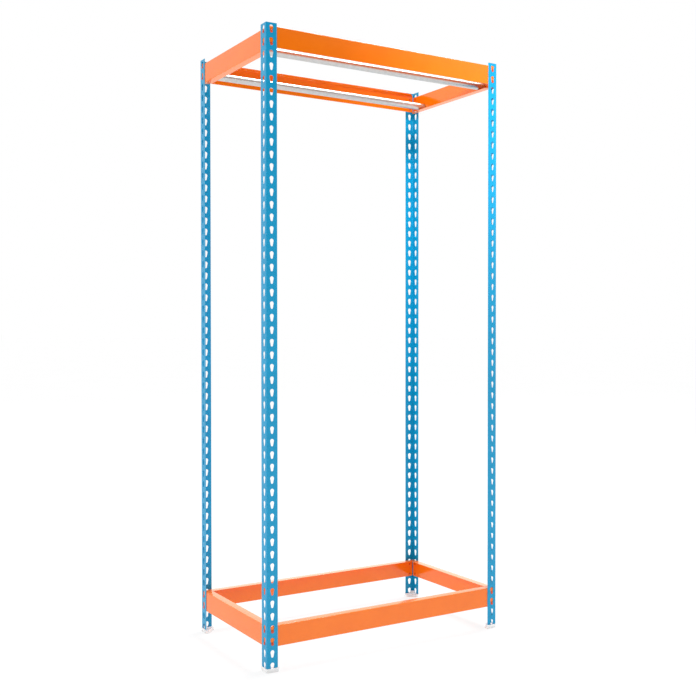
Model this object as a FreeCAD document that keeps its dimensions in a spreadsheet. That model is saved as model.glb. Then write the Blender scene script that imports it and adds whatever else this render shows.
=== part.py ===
"""Clothes rack built from slotted-angle shelving: keyholed posts, riveted beams and two loose hanging tubes.

Frame: millimetres, +Z up, +X to the right and the front at -Y, with the origin on the floor under the middle
of the rack.
"""
import FreeCAD, Part
import os
import Sketcher

doc = FreeCAD.newDocument("ClothesRack")

# Driving dimensions, in millimetres unless they are counts
SIZES = {
    # corner posts
    "post_length": 1990,
    "post_flange": 37,
    "post_wall": 1.5,
    "post_bend": 2.6,
    # keyhole slots of the posts; a seat is the narrow lower end where a rivet comes to rest
    "first_slot_drop": 6.2,
    "slot_pitch": 38.5,
    "slot_inset": 18.5,
    "slot_height": 23.5,
    "slot_top_width": 7.2,
    "slot_width": 13.5,
    "slot_foot_width": 8,
    "slot_shoulder": 5.5,
    # beams; the corner gap is from a beam's end to the web that crosses in front of it
    "long_beam": 900,
    "short_beam": 500,
    "corner_gap": 2.2,
    "beam_web": 65,
    "beam_lip": 28,
    "beam_wall": 1.2,
    "beam_bend": 2.2,
    # slots of the posts that stay free above the upper frame and below the lower one
    "slots_above": 0,
    "slots_below": 2,
    # rivets; the edge is from a web's free edge to the nearest rivet
    "rivet_edge": 9.5,
    "rivet_shank": 7.2,
    "rivet_head": 10.4,
    "rivet_head_height": 2,
    "rivet_tail": 0.8,
    "rivet_hole_play": 0.1,
    "paint_gap": 0.1,
    # hanging tubes
    "rail_diameter": 25,
    "rail_wall": 1.5,
    "rail_end_gap": 2.5,
    "rail_lift": 0.3,
    "front_rail_setback": 70,
    "back_rail_setback": 75,
    # feet
    "foot_base": 10,
    "foot_rim": 2.3,
    "foot_rim_height": 3,
    "foot_play": 0.2,
    "foot_toe": 12,
    "foot_block": 13,
    "foot_block_height": 8,
}

# Lengths and counts that follow from the driving dimensions
DERIVED = {
    "web_setback": "post_wall + paint_gap",
    "beam_end_gap": "web_setback + beam_wall + corner_gap",
    "rack_width": "long_beam + 2 * beam_end_gap",
    "rack_depth": "short_beam + 2 * beam_end_gap",
    "post_top": "foot_base + post_length",
    "slot_count": "floor((post_length - first_slot_drop) / slot_pitch) + 1",
    "seat_rise": "rivet_shank / 2 + paint_gap",
    "first_seat": "post_top - first_slot_drop - slot_height + seat_rise",
    "upper_seat": "first_seat - slots_above * slot_pitch",
    "lower_seat": "first_seat - (slot_count - slots_below - 2) * slot_pitch",
    "rivet_from_end": "slot_inset - beam_end_gap",
    "shank_reach": "post_wall + 2 * paint_gap",
    "ledge_top": "upper_seat + rivet_edge - beam_web + beam_wall",
    "rail_height": "ledge_top + rail_lift + rail_diameter / 2",
    "rail_length": "rack_width - 2 * (web_setback + beam_wall + rail_end_gap)",
    "foot_edge": "0 - foot_play - foot_rim",
    "foot_reach": "post_flange + foot_play + foot_rim",
    "foot_inside": "post_wall + foot_play",
}

sheet = doc.addObject("Spreadsheet::Sheet", "Sizes")
for row, (alias, value) in enumerate(list(SIZES.items()) + list(DERIVED.items()), start=1):
    content = str(value) if alias in SIZES else "=" + value
    sheet.set("A%d" % row, alias)
    sheet.set("B%d" % row, content)
    sheet.setAlias("B%d" % row, alias)
doc.recompute()


def bound(formula):
    """The formula with every alias written as a reference to the sheet."""
    words = []
    word = ""
    for letter in formula + " ":
        if letter.isalnum() or letter in "_.":
            word += letter
            continue
        words.append("Sizes." + word if word in SIZES or word in DERIVED else word)
        words.append(letter)
        word = ""
    return "".join(words).strip()


def number(formula):
    """The formula's present value in millimetres."""
    value = sheet.evalExpression(bound(formula))
    return float(getattr(value, "Value", value))


def plane(body, role):
    """One of the body's own origin planes or axes."""
    return next(item for item in body.Origin.OriginFeatures if item.Role == role)


def new_body(label):
    body = doc.addObject("PartDesign::Body", label)
    body.Label = label
    body.AllowCompound = True
    return body


def new_sketch(body, name, role, offset="0"):
    """A sketch on an origin plane, moved along the plane's normal by a bound offset."""
    sketch = body.newObject("Sketcher::SketchObject", body.Name + "_" + name)
    sketch.AttachmentSupport = [(plane(body, role), "")]
    sketch.MapMode = "FlatFace"
    sketch.setExpression("AttachmentOffset.Base.z", bound(offset))
    return sketch


def outline(sketch, corners):
    """A closed outline of straight edges; each corner is a pair of formulas from the sketch's origin."""
    points = [FreeCAD.Vector(number(across), number(up), 0) for across, up in corners]
    first = sketch.GeometryCount
    count = len(corners)
    for index, start in enumerate(points):
        end = points[(index + 1) % count]
        sketch.addGeometry(Part.LineSegment(start, end), False)
    for index in range(count):
        line = first + index
        following = first + (index + 1) % count
        sketch.addConstraint(Sketcher.Constraint("Coincident", line, 2, following, 1))
    for index, (across, up) in enumerate(corners):
        line = first + index
        for kind, formula, value in (("DistanceX", across, points[index].x), ("DistanceY", up, points[index].y)):
            place = sketch.addConstraint(Sketcher.Constraint(kind, -1, 1, line, 1, value))
            sketch.setExpression("Constraints[%d]" % place, bound(formula))


def circle(sketch, diameter):
    """A circle about the sketch's origin."""
    centre = FreeCAD.Vector(0, 0, 0)
    upward = FreeCAD.Vector(0, 0, 1)
    index = sketch.addGeometry(Part.Circle(centre, upward, number(diameter) / 2), False)
    sketch.addConstraint(Sketcher.Constraint("Coincident", index, 3, -1, 1))
    place = sketch.addConstraint(Sketcher.Constraint("Diameter", index, number(diameter)))
    sketch.setExpression("Constraints[%d]" % place, bound(diameter))


def regular(centre_across, centre_up, width, sides):
    """Corners of a polygon with an even number of sides, measured across its flats, with one flat below."""
    corners = []
    for index in range(sides):
        angle = "(((%d + 0.5) * 360 / %d - 90) * 1 deg)" % (index, sides)
        radius = "(%s) / 2 / cos(180 / %d * 1 deg)" % (width, sides)
        corners.append(("%s + %s * cos%s" % (centre_across, radius, angle),
                        "%s + %s * sin%s" % (centre_up, radius, angle)))
    return corners


def pad(body, sketch, length):
    feature = body.newObject("PartDesign::Pad", sketch.Name + "_pad")
    feature.Profile = sketch
    feature.setExpression("Length", bound(length))
    doc.recompute()
    return feature


def pocket(body, sketch, depth, forward=False):
    """A cut of bound depth against the sketch's normal, or along it; it must take material away."""
    before = body.Shape.Volume
    feature = body.newObject("PartDesign::Pocket", sketch.Name + "_cut")
    feature.Profile = sketch
    feature.setExpression("Length", bound(depth))
    feature.Reversed = forward
    doc.recompute()
    if body.Shape.Volume > before - 1e-6:
        raise RuntimeError(feature.Name + " cuts nothing")
    return feature


def round_edges(body, base, radius, chosen):
    """A fillet on the edges of the base feature that the test picks by their two ends."""
    names = []
    for index, edge in enumerate(base.Shape.Edges, start=1):
        ends = [vertex.Point for vertex in edge.Vertexes]
        if len(ends) == 2 and chosen(*ends):
            names.append("Edge%d" % index)
    feature = body.newObject("PartDesign::Fillet", base.Name + "_round")
    feature.Base = (base, names)
    feature.setExpression("Radius", bound(radius))
    doc.recompute()
    return feature


def place(thing, across, deep, height, turn, turned_over=False):
    """Turns a sub-part about Z, after turning it over about its own Y where asked, and binds its position."""
    about_z = FreeCAD.Rotation(FreeCAD.Vector(0, 0, 1), turn)
    about_y = FreeCAD.Rotation(FreeCAD.Vector(0, 1, 0), 180 if turned_over else 0)
    thing.Placement = FreeCAD.Placement(FreeCAD.Vector(0, 0, 0), about_z.multiply(about_y))
    thing.setExpression("Placement.Base.x", bound(across))
    thing.setExpression("Placement.Base.y", bound(deep))
    thing.setExpression("Placement.Base.z", bound(height))


def along(first, second, low, high):
    """Whether an edge runs between two given places, in either direction."""
    return (first.isEqual(low, 1e-4) and second.isEqual(high, 1e-4)) or (
        first.isEqual(high, 1e-4) and second.isEqual(low, 1e-4))


# Corner post: an equal angle with its outer corner on the origin and keyholes in both flanges

def slot_outline():
    """Keyhole, wide at its upper end, in straight edges: distance along the flange, height."""
    slot_top = "post_length - first_slot_drop"
    levels = [("slot_top_width", slot_top), ("slot_width", slot_top + " - slot_shoulder"),
              ("slot_foot_width", slot_top + " - slot_height")]
    right = [("slot_inset + %s / 2" % width, height) for width, height in levels]
    left = [("slot_inset - %s / 2" % width, height) for width, height in reversed(levels)]
    return right + left


def build_post(label, across, deep, turn):
    body = new_body(label)
    profile = new_sketch(body, "angle", "XY_Plane")
    outline(profile, [("0", "0"), ("post_flange", "0"), ("post_flange", "post_wall"), ("post_wall", "post_wall"),
                      ("post_wall", "post_flange"), ("0", "post_flange")])
    angle = pad(body, profile, "post_length")
    outer = [FreeCAD.Vector(0, 0, level) for level in (0, number("post_length"))]
    round_edges(body, angle, "post_bend", lambda a, b: along(a, b, *outer))
    for name, role, forward in (("slots_x", "XZ_Plane", False), ("slots_y", "YZ_Plane", True)):
        keyhole = new_sketch(body, name, role)
        outline(keyhole, slot_outline())
        cut = pocket(body, keyhole, "2 * post_wall", forward)
        row = body.newObject("PartDesign::LinearPattern", keyhole.Name + "_row")
        row.Originals = [cut]
        row.Direction = (plane(body, "Z_Axis"), [""])
        row.Reversed = True
        row.setExpression("Length", bound("(slot_count - 1) * slot_pitch"))
        row.setExpression("Occurrences", bound("slot_count"))
        body.Tip = row
        doc.recompute()
    place(body, across, deep, "foot_base", turn)
    return body


# Beam: an L section along X with its web's outer face on y = 0, its free edge on z = 0 and its lip at the top

def rivet_places(length):
    """Where the rivets sit on a beam of that length: distance from its end, height above the free edge."""
    ends = ("rivet_from_end", "%s - rivet_from_end" % length)
    heights = ("rivet_edge", "rivet_edge + slot_pitch")
    return [(end, height) for end in ends for height in heights]


# the rivets repeat most often after the keyholes, so a few flats stand for their round sides
SHANK_SIDES = 4
HEAD_SIDES = 6


def build_beam(label, length):
    body = new_body(label)
    profile = new_sketch(body, "section", "YZ_Plane")
    outline(profile, [("0", "0"), ("beam_wall", "0"), ("beam_wall", "beam_web - beam_wall"),
                      ("beam_lip", "beam_web - beam_wall"), ("beam_lip", "beam_web"), ("0", "beam_web")])
    section = pad(body, profile, length)
    outer = [FreeCAD.Vector(end, 0, number("beam_web")) for end in (0, number(length))]
    round_edges(body, section, "beam_bend", lambda a, b: along(a, b, *outer))
    mitres = new_sketch(body, "mitres", "XY_Plane", "beam_web - beam_bend")
    for end, sign in (("0", "+"), (length, "-")):
        tip = "%s %s (beam_lip - beam_wall)" % (end, sign)
        outline(mitres, [(end, "beam_wall"), (tip, "beam_lip"), (end, "beam_lip")])
    pocket(body, mitres, "2 * beam_bend", True)
    holes = new_sketch(body, "rivet_holes", "XZ_Plane")
    for end, height in rivet_places(length):
        outline(holes, regular(end, height, "rivet_shank + rivet_hole_play", SHANK_SIDES))
    pocket(body, holes, "2 * beam_wall")
    return body


def build_rivets(label, length):
    """The shoulder rivets of a beam, in the beam's own place: shanks through the web, heads out past the post."""
    body = new_body(label)
    shanks = new_sketch(body, "shanks", "XZ_Plane", "0 - beam_wall - rivet_tail")
    heads = new_sketch(body, "heads", "XZ_Plane", "shank_reach")
    for end, height in rivet_places(length):
        outline(shanks, regular(end, height, "rivet_shank", SHANK_SIDES))
        outline(heads, regular(end, height, "rivet_head", HEAD_SIDES))
    pad(body, shanks, "rivet_tail + beam_wall + shank_reach")
    pad(body, heads, "rivet_head_height")
    return body


# Hanging tube along X, about its own axis

def build_rail(label, deep):
    body = new_body(label)
    ring = new_sketch(body, "ring", "YZ_Plane")
    circle(ring, "rail_diameter")
    circle(ring, "rail_diameter - 2 * rail_wall")
    pad(body, ring, "rail_length")
    place(body, "0 - rail_length / 2", deep, "rail_height", 0)
    return body


# Foot: a sole under the post's end, with a low rim round the outside of the angle and a block inside it

def build_foot(label, across, deep, turn):
    body = new_body(label)
    low = "foot_edge"
    far = "foot_reach"
    sole = new_sketch(body, "sole", "XY_Plane")
    outline(sole, [(low, low), (far, low), (far, "foot_toe"), ("foot_toe", far), (low, far)])
    pad(body, sole, "foot_base")
    rim = new_sketch(body, "rim", "XY_Plane")
    face = "0 - foot_play"
    outline(rim, [(low, low), (far, low), (far, face), (face, face), (face, far), (low, far)])
    rimmed = pad(body, rim, "foot_base + foot_rim_height")
    tall = [FreeCAD.Vector(number(low), number(low), level) for level in (0, number("foot_base + foot_rim_height"))]
    round_edges(body, rimmed, "post_bend + foot_rim", lambda a, b: along(a, b, *tall))
    block = new_sketch(body, "block", "XY_Plane")
    leg = "foot_inside + foot_block"
    outline(block, [("foot_inside", "foot_inside"), (leg, "foot_inside"), ("foot_inside", leg)])
    pad(body, block, "foot_base + foot_block_height")
    place(body, across, deep, "0", turn)
    return body


parts = []

half_width = "rack_width / 2"
half_depth = "rack_depth / 2"
corners = [("front_left", "0 - " + half_width, "0 - " + half_depth, 0),
           ("front_right", half_width, "0 - " + half_depth, 90),
           ("back_right", half_width, half_depth, 180),
           ("back_left", "0 - " + half_width, half_depth, 270)]
for corner, across, deep, turn in corners:
    parts.append(build_post("post_" + corner, across, deep, turn))
    parts.append(build_foot("foot_" + corner, across, deep, turn))

# Each side's turn, beam length, and the place of the beam's left end seen from outside
sides = [("front", 0, "long_beam", "0 - long_beam / 2", "web_setback - " + half_depth),
         ("back", 180, "long_beam", "long_beam / 2", half_depth + " - web_setback"),
         ("left", -90, "short_beam", "web_setback - " + half_width, "short_beam / 2"),
         ("right", 90, "short_beam", half_width + " - web_setback", "0 - short_beam / 2")]
for frame, seat in (("upper", "upper_seat"), ("lower", "lower_seat")):
    for side, turn, length, across, deep in sides:
        # the upper side beams are turned over, so that their lips carry the tubes
        turned_over = frame == "upper" and length == "short_beam"
        height = seat + " - slot_pitch - rivet_edge"
        if turned_over:
            deep = "0 - (%s)" % deep
            height = seat + " + rivet_edge"
        beam = build_beam("%s_beam_%s" % (frame, side), length)
        rivets = build_rivets("%s_rivets_%s" % (frame, side), length)
        for thing in (beam, rivets):
            place(thing, across, deep, height, turn, turned_over)
            parts.append(thing)

parts.append(build_rail("front_rail", "front_rail_setback - " + half_depth))
parts.append(build_rail("back_rail", half_depth + " - back_rail_setback"))

doc.recompute()
for item in doc.Objects:
    if "Invalid" in item.State or "Error" in item.State:
        raise RuntimeError("%s did not build: %s" % (item.Label, item.State))
for part in parts:
    if part.Shape.isNull() or not part.Shape.isValid():
        raise RuntimeError(part.Label + " has no valid shape")

os.makedirs("parts", exist_ok=True)
for part in parts:
    part.Shape.exportStep(os.path.join("parts", part.Label + ".step"))
    box = part.Shape.BoundBox
    print("%-20s %d solids, volume %.0f, x %.1f to %.1f, y %.1f to %.1f, z %.1f to %.1f" % (
        part.Label, len(part.Shape.Solids), part.Shape.Volume,
        box.XMin, box.XMax, box.YMin, box.YMax, box.ZMin, box.ZMax))
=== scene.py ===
"""Looks of the clothes rack: painted slotted-angle posts and beams, galvanised tubes and plastic feet."""
import math

import bmesh
import bpy
from mathutils import Matrix, Vector


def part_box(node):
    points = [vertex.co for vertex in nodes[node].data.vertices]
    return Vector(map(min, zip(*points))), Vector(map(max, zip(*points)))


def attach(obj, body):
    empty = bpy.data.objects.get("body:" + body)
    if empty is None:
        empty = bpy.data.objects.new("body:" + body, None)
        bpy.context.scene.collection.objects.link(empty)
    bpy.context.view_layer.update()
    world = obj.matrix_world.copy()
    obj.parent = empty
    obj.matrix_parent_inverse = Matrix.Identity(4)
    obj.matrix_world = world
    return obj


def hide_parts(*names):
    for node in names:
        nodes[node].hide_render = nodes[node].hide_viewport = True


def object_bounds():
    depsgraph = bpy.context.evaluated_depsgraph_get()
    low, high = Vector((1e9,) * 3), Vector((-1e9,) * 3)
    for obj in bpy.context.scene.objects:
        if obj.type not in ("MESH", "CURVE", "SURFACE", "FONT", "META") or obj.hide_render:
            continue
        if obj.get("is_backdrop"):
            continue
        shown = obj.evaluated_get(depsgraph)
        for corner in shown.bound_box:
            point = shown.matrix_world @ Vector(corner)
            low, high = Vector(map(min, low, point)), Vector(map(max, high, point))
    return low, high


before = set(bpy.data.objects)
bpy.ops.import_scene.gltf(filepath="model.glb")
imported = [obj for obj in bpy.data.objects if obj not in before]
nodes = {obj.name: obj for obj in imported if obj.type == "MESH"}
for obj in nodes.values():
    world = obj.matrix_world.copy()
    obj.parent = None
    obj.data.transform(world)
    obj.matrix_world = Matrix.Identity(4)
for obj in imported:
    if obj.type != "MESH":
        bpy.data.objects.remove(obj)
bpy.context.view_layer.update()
scene = bpy.context.scene

MM = 0.001
# points closer than this, in metres, are one point
WELD = 1e-6


# Materials: a scale counts the spots of a pattern in a metre

# most values of a noise lie between these two
NOISE_LOW = 0.3
NOISE_HIGH = 0.7

# the deepest and the freshest colour of each paint's mottling
BLUE_DEEP = (0.0003, 0.300, 0.550)
BLUE_FRESH = (0.0008, 0.335, 0.610)
ORANGE_DEEP = (0.94, 0.178, 0.0015)
ORANGE_FRESH = (0.98, 0.198, 0.0025)
# the rivets' colours are the beams' orange made darker and redder: painted shade for the keyholes they
# sit in
RIVET_SHADED_DEEP = (0.58, 0.056, 0.008)
RIVET_SHADED_FRESH = (0.68, 0.070, 0.010)
MOTTLE_SCALE = 9.0
GLOSS_SCALE = 60.0
# how far the paint's roughness falls below its written value and rises above it
GLOSSIER = 0.05
DULLER = 0.07
PEEL_SCALE = 520.0
PEEL_STRENGTH = 0.10
PEEL_DEPTH = 0.4 * MM

ZINC_DARK = (0.57, 0.565, 0.55)
ZINC_PALE = (0.67, 0.665, 0.65)
ZINC_SMOOTH = 0.34
ZINC_ROUGH = 0.42
CRYSTAL_SCALE = 130.0
CRYSTAL_LOW = 0.2
CRYSTAL_HIGH = 0.8
# the drawing lines are long, so they change slowly along the tube
LINE_SCALES = (3, 900, 900)
LINE_SHARE = 0.6
LINE_STRENGTH = 0.02
LINE_DEPTH = 0.1 * MM

PLASTIC_DULL = (0.90, 0.895, 0.89)
PLASTIC_PALE = (0.95, 0.945, 0.94)
PLASTIC_SMOOTH = 0.38
PLASTIC_ROUGH = 0.55
CLOUD_SCALE = 90.0
SCUFF_SCALE = 400.0
GRAIN_SCALE = 900.0
GRAIN_STRENGTH = 0.08
GRAIN_DEPTH = 0.3 * MM
SCATTER_SHARE = 0.25
SCATTER_REACH = 6 * MM


def node_tree(name):
    material = bpy.data.materials.new(name)
    material.use_nodes = True
    tree = material.node_tree
    shader = tree.nodes["Principled BSDF"]
    return material, tree, shader


def add(tree, kind, **settings):
    node = tree.nodes.new(kind)
    for key, value in settings.items():
        setattr(node, key, value)
    return node


def noise(tree, coords, scale, detail=2.0, roughness=0.5):
    node = add(tree, "ShaderNodeTexNoise")
    node.inputs["Scale"].default_value = scale
    node.inputs["Detail"].default_value = detail
    node.inputs["Roughness"].default_value = roughness
    tree.links.new(coords, node.inputs["Vector"])
    return node.outputs["Fac"]


def ramp(tree, value, low, high, stops):
    """A colour that goes from the first stop to the second as a value goes from low to high."""
    node = add(tree, "ShaderNodeValToRGB")
    for element, position, colour in zip(node.color_ramp.elements, (low, high), stops):
        element.position = position
        element.color = (*colour, 1)
    tree.links.new(value, node.inputs["Fac"])
    return node.outputs["Color"]


def spread(tree, value, low, high):
    """A value from 0 to 1 spread between two limits."""
    node = add(tree, "ShaderNodeMapRange")
    node.inputs["To Min"].default_value = low
    node.inputs["To Max"].default_value = high
    tree.links.new(value, node.inputs["Value"])
    return node.outputs["Result"]


def emboss(tree, shader, height, strength, depth):
    """Small bumps on a surface where a value rises."""
    bump = add(tree, "ShaderNodeBump")
    bump.inputs["Strength"].default_value = strength
    bump.inputs["Distance"].default_value = depth
    tree.links.new(height, bump.inputs["Height"])
    tree.links.new(bump.outputs["Normal"], shader.inputs["Normal"])


def coordinates(tree, stretch=(1, 1, 1)):
    where = add(tree, "ShaderNodeTexCoord")
    mapping = add(tree, "ShaderNodeMapping")
    mapping.inputs["Scale"].default_value = stretch
    tree.links.new(where.outputs["Object"], mapping.inputs["Vector"])
    return mapping.outputs["Vector"]


def powder_coat(name, deep, fresh, rough, ior):
    """Baked powder paint: faint mottling, orange-peel ripple and an uneven gloss."""
    material, tree, shader = node_tree(name)
    coords = coordinates(tree)
    mottle = noise(tree, coords, MOTTLE_SCALE, detail=4.0, roughness=0.6)
    colour = ramp(tree, mottle, NOISE_LOW, NOISE_HIGH, (deep, fresh))
    tree.links.new(colour, shader.inputs["Base Color"])
    gloss = noise(tree, coords, GLOSS_SCALE, detail=3.0, roughness=0.55)
    tree.links.new(spread(tree, gloss, rough - GLOSSIER, rough + DULLER), shader.inputs["Roughness"])
    peel = noise(tree, coords, PEEL_SCALE, roughness=0.4)
    emboss(tree, shader, peel, PEEL_STRENGTH, PEEL_DEPTH)
    shader.inputs["IOR"].default_value = ior
    return material


def galvanised():
    """Zinc-coated tube: crystal patches, fine drawing lines along the tube, soft sheen."""
    material, tree, shader = node_tree("zinc_tube")
    crystals = add(tree, "ShaderNodeTexVoronoi")
    crystals.inputs["Scale"].default_value = CRYSTAL_SCALE
    crystals.inputs["Randomness"].default_value = 1.0
    tree.links.new(coordinates(tree), crystals.inputs["Vector"])
    separate = add(tree, "ShaderNodeSeparateColor")
    tree.links.new(crystals.outputs["Color"], separate.inputs["Color"])
    lines = noise(tree, coordinates(tree, LINE_SCALES), 1.0)
    blend = add(tree, "ShaderNodeMix", data_type="FLOAT")
    blend.inputs["Factor"].default_value = LINE_SHARE
    tree.links.new(separate.outputs["Red"], blend.inputs["A"])
    tree.links.new(lines, blend.inputs["B"])
    mixed = blend.outputs["Result"]
    colour = ramp(tree, mixed, CRYSTAL_LOW, CRYSTAL_HIGH, (ZINC_DARK, ZINC_PALE))
    tree.links.new(colour, shader.inputs["Base Color"])
    tree.links.new(spread(tree, mixed, ZINC_SMOOTH, ZINC_ROUGH), shader.inputs["Roughness"])
    emboss(tree, shader, lines, LINE_STRENGTH, LINE_DEPTH)
    shader.inputs["Metallic"].default_value = 1.0
    return material


def milky_plastic():
    """Moulded foot: milky plastic with a faint grain and scuffs."""
    material, tree, shader = node_tree("foot_plastic")
    coords = coordinates(tree)
    cloud = noise(tree, coords, CLOUD_SCALE, detail=3.0)
    colour = ramp(tree, cloud, NOISE_LOW, NOISE_HIGH, (PLASTIC_DULL, PLASTIC_PALE))
    tree.links.new(colour, shader.inputs["Base Color"])
    scuffs = noise(tree, coords, SCUFF_SCALE)
    tree.links.new(spread(tree, scuffs, PLASTIC_SMOOTH, PLASTIC_ROUGH), shader.inputs["Roughness"])
    emboss(tree, shader, noise(tree, coords, GRAIN_SCALE), GRAIN_STRENGTH, GRAIN_DEPTH)
    shader.inputs["Subsurface Weight"].default_value = SCATTER_SHARE
    shader.inputs["Subsurface Radius"].default_value = (SCATTER_REACH, SCATTER_REACH, SCATTER_REACH)
    shader.inputs["Subsurface Scale"].default_value = 1.0
    return material


blue = powder_coat("blue_paint", BLUE_DEEP, BLUE_FRESH, rough=0.30, ior=1.42)
orange = powder_coat("orange_paint", ORANGE_DEEP, ORANGE_FRESH, rough=0.09, ior=1.58)
# the rivets get a darker copy of the orange paint, as painted shade in their keyholes
shaded_rivet_orange = powder_coat("rivet_paint_shaded", RIVET_SHADED_DEEP, RIVET_SHADED_FRESH, rough=0.25, ior=1.47)
zinc = galvanised()
plastic = milky_plastic()


# Objects

def add_object(name, data):
    thing = bpy.data.objects.new(name, data)
    scene.collection.objects.link(thing)
    return thing


def mesh_object(name, bm, material, smooth_angle=35.0):
    """An object from a finished mesh, smooth across edges that turn less than an angle in degrees."""
    mesh = bpy.data.meshes.new(name)
    bm.normal_update()
    bm.to_mesh(mesh)
    bm.free()
    mesh.shade_smooth()
    mesh.set_sharp_from_angle(angle=math.radians(smooth_angle))
    mesh.materials.append(material)
    return add_object(name, mesh)


# Corner posts: bent angle with punched keyholes, the sizes in millimetres as in the model

POST_LENGTH = 1990.0
POST_FLANGE = 37.0
POST_WALL = 1.5
POST_BEND = 2.6
FIRST_SLOT_DROP = 6.2
SLOT_PITCH = 38.5
SLOT_COUNT = 52
SLOT_INSET = 18.5
SLOT_HEIGHT = 23.5
SLOT_HEAD_RADIUS = 6.75
SLOT_SEAT_RADIUS = 4.1
PUNCH_ROUND = 0.35
# where the straight flanks of a keyhole leave its round head, and how far they lean
NECK_TURN = math.radians(62)
NECK_LEAN = math.radians(9)
# points on an arc of a keyhole before they are spaced evenly
ARC_POINTS = 80
# a length between two points below this counts as this, so that nothing is divided by zero
SHORTEST = 1e-9
# each keyhole lies in a cell of its flange, with so many faces along the cell's sides and ends
SIDE_STEPS = 7
END_STEPS = 5
CELL_STEPS = 2 * (SIDE_STEPS + END_STEPS)
BEND_STEPS = 5


def keyhole(grow):
    """The keyhole's edge as close points, clockwise from the left of its neck: across, below its top."""
    head = SLOT_HEAD_RADIUS
    seat = SLOT_SEAT_RADIUS
    head_turn = math.pi - NECK_TURN
    seat_turn = math.pi / 2 - NECK_LEAN
    edge = []
    for index in range(2 * ARC_POINTS + 1):
        angle = -head_turn + head_turn * index / ARC_POINTS
        edge.append(((head + grow) * math.sin(angle), head - (head + grow) * math.cos(angle)))
    for index in range(ARC_POINTS + 1):
        angle = seat_turn - 2 * seat_turn * index / ARC_POINTS
        below = SLOT_HEIGHT - seat + (seat + grow) * math.cos(angle)
        edge.append(((seat + grow) * math.sin(angle), below))
    return edge


def even_steps(points, count, first):
    """Points spaced evenly along a closed line, starting at its point nearest to the first place."""
    begin = min(range(len(points)), key=lambda i: math.dist(points[i], first))
    line = points[begin:] + points[:begin] + [points[begin]]
    lengths = [0.0]
    for a, b in zip(line, line[1:]):
        lengths.append(lengths[-1] + math.dist(a, b))
    spaced = []
    index = 0
    for step in range(count):
        want = lengths[-1] * step / count
        while lengths[index + 1] < want:
            index += 1
        share = (want - lengths[index]) / max(lengths[index + 1] - lengths[index], SHORTEST)
        a, b = line[index], line[index + 1]
        spaced.append((a[0] + (b[0] - a[0]) * share, a[1] + (b[1] - a[1]) * share))
    return spaced


def cell_edge(left, right, top, bottom):
    """Points round a cell from its upper left, clockwise seen from outside."""
    loop = []
    for step in range(END_STEPS):
        loop.append((left + (right - left) * step / END_STEPS, top))
    for step in range(SIDE_STEPS):
        loop.append((right, top + (bottom - top) * step / SIDE_STEPS))
    for step in range(END_STEPS):
        loop.append((right + (left - right) * step / END_STEPS, bottom))
    for step in range(SIDE_STEPS):
        loop.append((left, bottom + (top - bottom) * step / SIDE_STEPS))
    return loop


def build_post_mesh():
    bm = bmesh.new()
    corner = (-SLOT_HEAD_RADIUS, 0.0)
    hole = even_steps(keyhole(0.0), CELL_STEPS, corner)
    wide = even_steps(keyhole(PUNCH_ROUND), CELL_STEPS, corner)

    def ring(lower, upper):
        """Faces between two closed loops."""
        count = len(lower)
        for index in range(count):
            following = (index + 1) % count
            bm.faces.new((lower[index], lower[following], upper[following], upper[index]))

    def strip(first, second):
        """Faces between two open rows."""
        for a, b, c, d in zip(first, second, second[1:], first[1:]):
            bm.faces.new((a, b, c, d))

    # flange 0 runs along X with its outer face on y = 0, flange 1 along Y with its outer face on x = 0
    for flange in (0, 1):
        def vertex(along, depth, height):
            place = (along, depth, height) if flange == 0 else (depth, along, height)
            return bm.verts.new(Vector(place) * MM)

        for slot in range(SLOT_COUNT):
            top = POST_LENGTH - slot * SLOT_PITCH
            slot_top = top - FIRST_SLOT_DROP
            edge = cell_edge(POST_BEND, POST_FLANGE, top, top - SLOT_PITCH)
            centred = [(SLOT_INSET + x, slot_top - y) for x, y in hole]
            rounded = [(SLOT_INSET + x, slot_top - y) for x, y in wide]
            loops = [[vertex(u, 0.0, z) for u, z in edge],
                     [vertex(u, 0.0, z) for u, z in rounded],
                     [vertex(u, PUNCH_ROUND, z) for u, z in centred],
                     [vertex(u, POST_WALL, z) for u, z in centred],
                     [vertex(u, POST_WALL, z) for u, z in edge]]
            for lower, upper in zip(loops, loops[1:]):
                ring(lower, upper)
            outer, inner = loops[0], loops[-1]
            free_edge = slice(END_STEPS, END_STEPS + SIDE_STEPS + 1)
            strip(outer[free_edge], inner[free_edge])
            if slot == 0:
                upper_end = slice(0, END_STEPS + 1)
                strip(outer[upper_end], inner[upper_end])
    # the bend between the flanges, outside and inside
    levels = []
    for slot in range(SLOT_COUNT):
        top = POST_LENGTH - slot * SLOT_PITCH
        levels += [top - SLOT_PITCH * step / SIDE_STEPS for step in range(SIDE_STEPS)]
    levels.append(POST_LENGTH - SLOT_COUNT * SLOT_PITCH)
    rows = []
    for level in levels:
        row = []
        for radius in (POST_BEND, POST_BEND - POST_WALL):
            arc = []
            for step in range(BEND_STEPS + 1):
                angle = math.pi / 2 * step / BEND_STEPS
                across = POST_BEND - radius * math.sin(angle)
                deep = POST_BEND - radius * math.cos(angle)
                arc.append(bm.verts.new(Vector((across, deep, level)) * MM))
            row.append(arc)
        rows.append(row)
    for above, below in zip(rows, rows[1:]):
        for upper, lower in zip(above, below):
            strip(upper, lower)
    strip(*rows[0])
    bmesh.ops.remove_doubles(bm, verts=bm.verts, dist=WELD)
    # the last keyhole is cut open by the lower end
    everything = bm.verts[:] + bm.edges[:] + bm.faces[:]
    cut = bmesh.ops.bisect_plane(bm, geom=everything, plane_co=(0, 0, 0), plane_no=(0, 0, 1),
                                 clear_inner=True)
    ends = [item for item in cut["geom_cut"] if isinstance(item, bmesh.types.BMEdge)]
    bmesh.ops.triangle_fill(bm, use_beauty=True, edges=ends)
    bmesh.ops.recalc_face_normals(bm, faces=bm.faces)
    return bm


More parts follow.
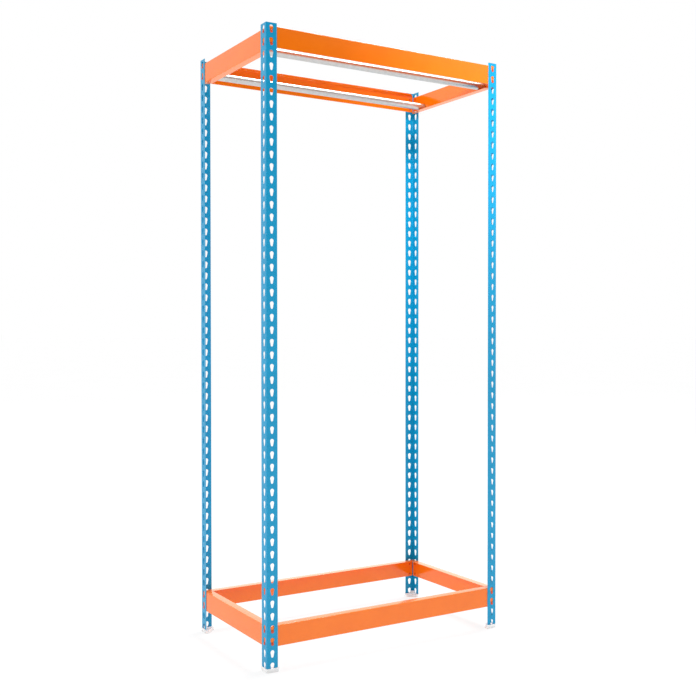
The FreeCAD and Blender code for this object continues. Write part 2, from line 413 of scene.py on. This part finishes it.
# how far a post is turned at each corner, in degrees
TURNS = {"front_left": 0, "front_right": 90, "back_right": 180, "back_left": 270}
post_mesh = None
for place, turn in TURNS.items():
    node = "post_" + place
    low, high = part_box(node)
    across = low.x if place.endswith("left") else high.x
    deep = low.y if place.startswith("front") else high.y
    name = "slotted_" + node
    if post_mesh is None:
        post = mesh_object(name, build_post_mesh(), blue)
        post_mesh = post.data
    else:
        post = add_object(name, post_mesh)
    turned = Matrix.Rotation(math.radians(turn), 4, "Z")
    post.matrix_world = Matrix.Translation((across, deep, low.z)) @ turned
    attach(post, "frame")
    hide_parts(node)


# Rivets: a low dome outside the post, a shoulder through the keyhole and a flattened tail inside the web

# the turned outline in millimetres: radius, and how far outward from the tail's end
RIVET_PROFILE = [(0.0, 0.0), (3.0, 0.0), (3.7, 0.2), (3.9, 0.65), (3.6, 0.8), (3.6, 3.6), (4.7, 3.7),
                 (4.95, 4.0), (4.75, 4.5), (4.0, 5.0), (2.8, 5.4), (1.3, 5.62), (0.0, 5.65)]
RIVET_SIDES = 20
# half the six-sided head of a rivet's solid, up and across
HEAD_UP = 5.2 * MM
HEAD_ACROSS = HEAD_UP / math.cos(math.radians(30))


def build_rivet(bm, tail, outward):
    """A turned rivet whose tail ends at a place and whose dome points outward."""
    axis = Vector(outward)
    side = axis.orthogonal().normalized()
    rise = axis.cross(side)
    rings = []
    for radius, out in RIVET_PROFILE:
        middle = Vector(tail) + axis * out * MM
        if radius == 0.0:
            rings.append([bm.verts.new(middle)])
            continue
        ring = []
        for index in range(RIVET_SIDES):
            angle = 2 * math.pi * index / RIVET_SIDES
            spoke = side * math.cos(angle) + rise * math.sin(angle)
            ring.append(bm.verts.new(middle + spoke * radius * MM))
        rings.append(ring)
    for inner, outer in zip(rings, rings[1:]):
        for index in range(RIVET_SIDES):
            following = (index + 1) % RIVET_SIDES
            if len(inner) == 1:
                bm.faces.new((inner[0], outer[index], outer[following]))
            elif len(outer) == 1:
                bm.faces.new((inner[index], outer[0], inner[following]))
            else:
                bm.faces.new((inner[index], outer[index], outer[following], inner[following]))


for node in [name for name in nodes if "_rivets_" in name]:
    low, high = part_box(node)
    side = node.rsplit("_", 1)[1]
    bm = bmesh.new()
    for height in (low.z + HEAD_UP, high.z - HEAD_UP):
        if side in ("front", "back"):
            for across in (low.x + HEAD_ACROSS, high.x - HEAD_ACROSS):
                tail = high.y if side == "front" else low.y
                build_rivet(bm, (across, tail, height), (0, -1 if side == "front" else 1, 0))
        else:
            for deep in (low.y + HEAD_ACROSS, high.y - HEAD_ACROSS):
                tail = high.x if side == "left" else low.x
                build_rivet(bm, (tail, deep, height), (-1 if side == "left" else 1, 0, 0))
    bmesh.ops.recalc_face_normals(bm, faces=bm.faces)
    rivets = mesh_object("domed_" + node, bm, shaded_rivet_orange, smooth_angle=50.0)
    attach(rivets, "frame")
    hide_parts(node)


# Beams: a folded angle whose lip is cut to a mitre at both ends, the sizes in millimetres as in the model

BEAM_WALL = 1.2
BEAM_BEND = 2.2
BEAM_LIP = 28.0
BEAM_WEB = 65.0
FOLD_STEPS = 6
EDGE_ROUND = 0.3
EDGE_STEPS = 2
EDGE_SHARP = math.radians(50)


def soften(beam):
    """Small rounded edges where the sheet is cut."""
    bevel = beam.modifiers.new("soft_edges", "BEVEL")
    bevel.width = EDGE_ROUND * MM
    bevel.segments = EDGE_STEPS
    bevel.limit_method = "ANGLE"
    bevel.angle_limit = EDGE_SHARP


def fold(offset):
    """The beam's section at a depth below its outer skin: inwards from the web, up from its free edge."""
    radius = BEAM_BEND - offset
    line = [(offset, 0.0)]
    for step in range(FOLD_STEPS + 1):
        angle = math.pi / 2 * step / FOLD_STEPS
        inward = BEAM_BEND - radius * math.cos(angle)
        line.append((inward, BEAM_WEB - BEAM_BEND + radius * math.sin(angle)))
    line.append((BEAM_LIP, BEAM_WEB - offset))
    return line


def build_beam_mesh(length):
    bm = bmesh.new()
    sheets = []
    for line in (fold(0.0), fold(BEAM_WALL)):
        starts = []
        ends = []
        for inward, up in line:
            mitre = max(0.0, inward - BEAM_WALL)
            starts.append(bm.verts.new(Vector((mitre, inward, up)) * MM))
            ends.append(bm.verts.new(Vector((length - mitre, inward, up)) * MM))
        for index in range(len(line) - 1):
            bm.faces.new((starts[index], starts[index + 1], ends[index + 1], ends[index]))
        sheets.append((starts, ends))
    (outer_start, outer_end), (inner_start, inner_end) = sheets
    last = len(outer_start) - 1
    for index in range(last):
        for outer, inner in ((outer_start, inner_start), (outer_end, inner_end)):
            bm.faces.new((outer[index], outer[index + 1], inner[index + 1], inner[index]))
    for index in (0, last):
        bm.faces.new((outer_start[index], outer_end[index], inner_end[index], inner_start[index]))
    bmesh.ops.recalc_face_normals(bm, faces=bm.faces)
    return bm


# the directions along each side's beam and inwards from its web
SIDES = {"front": ((1, 0, 0), (0, 1, 0)), "back": ((-1, 0, 0), (0, -1, 0)),
         "left": ((0, -1, 0), (1, 0, 0)), "right": ((0, 1, 0), (-1, 0, 0))}
beam_meshes = {}
for node in [name for name in nodes if "_beam_" in name]:
    low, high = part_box(node)
    level, side = node.split("_beam_")
    run, inward = (Vector(direction) for direction in SIDES[side])
    # the upper side beams are turned over, so that their lips carry the tubes
    if level == "upper" and side in ("left", "right"):
        run = -run
    up = run.cross(inward)
    corner = Vector([low[i] if (run + inward + up)[i] > 0 else high[i] for i in range(3)])
    length = round(abs((high - low).dot(run)) / MM, 3)
    name = "folded_" + node
    if length not in beam_meshes:
        beam = mesh_object(name, build_beam_mesh(length), orange)
        beam_meshes[length] = beam.data
    else:
        beam = add_object(name, beam_meshes[length])
    turned = Matrix((run, inward, up)).transposed().to_4x4()
    beam.matrix_world = Matrix.Translation(corner) @ turned
    soften(beam)
    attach(beam, "frame")
    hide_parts(node)


# Feet: the moulding has rounded outer edges

FOOT_ROUND = 0.8 * MM
FOOT_ROUND_STEPS = 3
FOOT_SHARP = math.radians(40)
# faces that turn less than this against each other are one flat face
FLAT = math.radians(2)


def build_foot_mesh(solid):
    bm = bmesh.new()
    bm.from_mesh(solid.data)
    bmesh.ops.remove_doubles(bm, verts=bm.verts, dist=WELD)
    bmesh.ops.dissolve_limit(bm, angle_limit=FLAT, verts=bm.verts[:], edges=bm.edges[:])
    bmesh.ops.recalc_face_normals(bm, faces=bm.faces)
    outer = [edge for edge in bm.edges if edge.is_convex and edge.calc_face_angle(0.0) > FOOT_SHARP]
    bmesh.ops.bevel(bm, geom=outer, offset=FOOT_ROUND, offset_type="OFFSET", segments=FOOT_ROUND_STEPS,
                    profile=0.5, affect="EDGES", clamp_overlap=True)
    return bm


for place in TURNS:
    node = "foot_" + place
    foot = mesh_object("moulded_" + node, build_foot_mesh(nodes[node]), plastic)
    foot.matrix_world = nodes[node].matrix_world
    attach(foot, "frame")
    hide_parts(node)


# Hanging tubes with their deburred ends

TUBE_SIDES = 56
TUBE_WALL = 1.5 * MM
TUBE_ROUND = 0.3 * MM


def build_tube_mesh(low, high):
    """A tube along X in a box; its section's outline is turned about the middle of the box."""
    bm = bmesh.new()
    middle = (low + high) / 2
    radius = (high.z - low.z) / 2
    bore = radius - TUBE_WALL
    profile = []
    for end, sign in ((low.x, 1), (high.x, -1)):
        lip = [(end + sign * TUBE_ROUND, bore), (end, bore + TUBE_ROUND), (end, radius - TUBE_ROUND),
               (end + sign * TUBE_ROUND, radius)]
        profile += lip if sign == 1 else lip[::-1]
    rings = []
    for along, reach in profile:
        ring = []
        for index in range(TUBE_SIDES):
            angle = 2 * math.pi * index / TUBE_SIDES
            deep = middle.y + reach * math.cos(angle)
            ring.append(bm.verts.new((along, deep, middle.z + reach * math.sin(angle))))
        rings.append(ring)
    for index, ring in enumerate(rings):
        following = rings[(index + 1) % len(rings)]
        for step in range(TUBE_SIDES):
            after = (step + 1) % TUBE_SIDES
            bm.faces.new((ring[step], ring[after], following[after], following[step]))
    bmesh.ops.recalc_face_normals(bm, faces=bm.faces)
    return bm


for node in ("front_rail", "back_rail"):
    low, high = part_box(node)
    tube = mesh_object("tube_" + node, build_tube_mesh(low, high), zinc, smooth_angle=40.0)
    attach(tube, node)
    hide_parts(node)


# Floor

FLOOR_REACH = 400.0
FLOOR_DULL = (0.88, 0.88, 0.88)
FLOOR_PALE = (0.91, 0.91, 0.91)
FLOOR_CLOUD_SCALE = 0.6
FLOOR_ROUGH = 0.7
# how far the floor is plain white to the eye, the rest being its own colour with its shadows
FLOOR_WHITE = 0.75


def arithmetic(tree, operation, first, second):
    """The result of a calculation with two values, each a number or the output of a node."""
    node = add(tree, "ShaderNodeMath", operation=operation)
    for value, socket in ((first, node.inputs[0]), (second, node.inputs[1])):
        if isinstance(value, float):
            socket.default_value = value
        else:
            tree.links.new(value, socket)
    return node.outputs["Value"]


def seen_directly(tree):
    """1 for the camera and for mirror images, 0 for the light that falls on other things."""
    rays = add(tree, "ShaderNodeLightPath").outputs
    return arithmetic(tree, "MAXIMUM", rays["Is Camera Ray"], rays["Is Glossy Ray"])


def build_floor():
    material, tree, shader = node_tree("pale_floor")
    cloud = noise(tree, coordinates(tree), FLOOR_CLOUD_SCALE)
    colour = ramp(tree, cloud, NOISE_LOW, NOISE_HIGH, (FLOOR_DULL, FLOOR_PALE))
    tree.links.new(colour, shader.inputs["Base Color"])
    shader.inputs["Roughness"].default_value = FLOOR_ROUGH
    glow = add(tree, "ShaderNodeEmission")
    share = arithmetic(tree, "MULTIPLY", seen_directly(tree), FLOOR_WHITE)
    mix = add(tree, "ShaderNodeMixShader")
    tree.links.new(share, mix.inputs[0])
    tree.links.new(shader.outputs["BSDF"], mix.inputs[1])
    tree.links.new(glow.outputs["Emission"], mix.inputs[2])
    tree.links.new(mix.outputs["Shader"], tree.nodes["Material Output"].inputs["Surface"])
    bm = bmesh.new()
    bmesh.ops.create_grid(bm, x_segments=1, y_segments=1, size=FLOOR_REACH)
    floor = mesh_object("floor", bm, material)
    floor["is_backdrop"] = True


# Light: parts of the surroundings as directions seen from the rack, each with an edge, the two cosines of
# the turn away from it between which its share comes in

WORLD_BRIGHT = 1.10
# the dim side behind the camera, which starts above the horizon
DIM_SIDE = (-0.17, -0.985, 0.0)
DIM_SIDE_EDGE = (0.40, 0.82)
DIM_SIDE_LOSS = 0.66
UPWARD = (0.0, 0.0, 1.0)
HORIZON_EDGE = (0.0, 0.22)
# a darker corner on that side
DARK_CORNER = (0.362, -0.905, 0.221)
DARK_CORNER_EDGE = (0.93, 0.985)
DARK_CORNER_LOSS = 0.40
# the brightest wall, behind on the right
BRIGHT_WALL = (0.50, 0.82, 0.28)
BRIGHT_WALL_EDGE = (0.70, 0.97)
BRIGHT_WALL_EXTRA = 0.5


def build_world():
    """Pale surroundings: brightest behind on the right, dimmer high up on the side of the camera."""
    world = bpy.data.worlds.new("studio")
    scene.world = world
    world.use_nodes = True
    tree = world.node_tree
    shade = tree.nodes["Background"]
    where = add(tree, "ShaderNodeTexCoord")

    def facing(direction, edge, low, high):
        """A value that goes from low to high towards a direction."""
        turn = add(tree, "ShaderNodeVectorMath", operation="DOT_PRODUCT")
        tree.links.new(where.outputs["Generated"], turn.inputs[0])
        turn.inputs[1].default_value = direction
        limits = add(tree, "ShaderNodeMapRange", interpolation_type="SMOOTHSTEP")
        limits.inputs["From Min"].default_value, limits.inputs["From Max"].default_value = edge
        limits.inputs["To Min"].default_value = low
        limits.inputs["To Max"].default_value = high
        tree.links.new(turn.outputs["Value"], limits.inputs["Value"])
        return limits.outputs["Result"]

    aside = facing(DIM_SIDE, DIM_SIDE_EDGE, 0.0, DIM_SIDE_LOSS)
    raised = facing(UPWARD, HORIZON_EDGE, 0.0, 1.0)
    wall = facing(BRIGHT_WALL, BRIGHT_WALL_EDGE, WORLD_BRIGHT, WORLD_BRIGHT + BRIGHT_WALL_EXTRA)
    corner = facing(DARK_CORNER, DARK_CORNER_EDGE, 0.0, DARK_CORNER_LOSS)
    dimmed = arithmetic(tree, "ADD", arithmetic(tree, "MULTIPLY", aside, raised), corner)
    strength = arithmetic(tree, "SUBTRACT", wall, dimmed)
    # the camera itself sees plain white
    view = add(tree, "ShaderNodeMix", data_type="FLOAT")
    rays = add(tree, "ShaderNodeLightPath").outputs
    tree.links.new(rays["Is Camera Ray"], view.inputs["Factor"])
    tree.links.new(strength, view.inputs["A"])
    view.inputs["B"].default_value = 1.0
    tree.links.new(view.outputs["Result"], shade.inputs["Strength"])
    shade.inputs["Color"].default_value = (1.0, 1.0, 1.0, 1.0)


def build_light(name, place, target, size, power, fan):
    """A square soft light: its side in metres, its power in watts, its fan in degrees."""
    light = bpy.data.lights.new(name, "AREA")
    light.shape = "SQUARE"
    light.size = size
    light.energy = power
    light.spread = math.radians(fan)
    lamp = add_object(name, light)
    lamp.location = place
    lamp.rotation_euler = (Vector(target) - Vector(place)).to_track_quat("-Z", "Y").to_euler()


# Camera: place in metres, turns in degrees, focal length in pixels of the frame, sensor in millimetres

CAMERA_PLACE = (-1.8080, -2.9416, 1.0489)
CAMERA_YAW = 31.489
CAMERA_PITCH = -0.872
CAMERA_ROLL = 0.035
FOCAL_PIXELS = 977.7
FRAME_PIXELS = 696
SENSOR = 36.0
NEAREST_SEEN = 0.01
FARTHEST_SEEN = 200


def build_camera():
    data = bpy.data.cameras.new("camera")
    data.sensor_width = SENSOR
    data.lens = FOCAL_PIXELS / FRAME_PIXELS * SENSOR
    data.clip_start = NEAREST_SEEN
    data.clip_end = FARTHEST_SEEN
    camera = add_object("camera", data)
    yaw, pitch, roll = (math.radians(x) for x in (CAMERA_YAW, CAMERA_PITCH, CAMERA_ROLL))
    forward = Vector((math.sin(yaw) * math.cos(pitch), math.cos(yaw) * math.cos(pitch), math.sin(pitch)))
    turned = forward.to_track_quat("-Z", "Y").to_matrix().to_4x4() @ Matrix.Rotation(-roll, 4, "Z")
    camera.matrix_world = Matrix.Translation(CAMERA_PLACE) @ turned
    scene.camera = camera


build_floor()
build_world()
build_light("side_softbox", place=(-0.50, -2.20, 2.60), target=(0.55, -0.25, 1.75),
            size=0.3, power=2.4, fan=34)
build_light("overhead_softbox", place=(2.4, 0.5, 6.8), target=(0.2, -0.2, 0.0),
            size=2.2, power=290, fan=180)
build_camera()
scene.view_settings.view_transform = "Standard"

low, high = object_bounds()
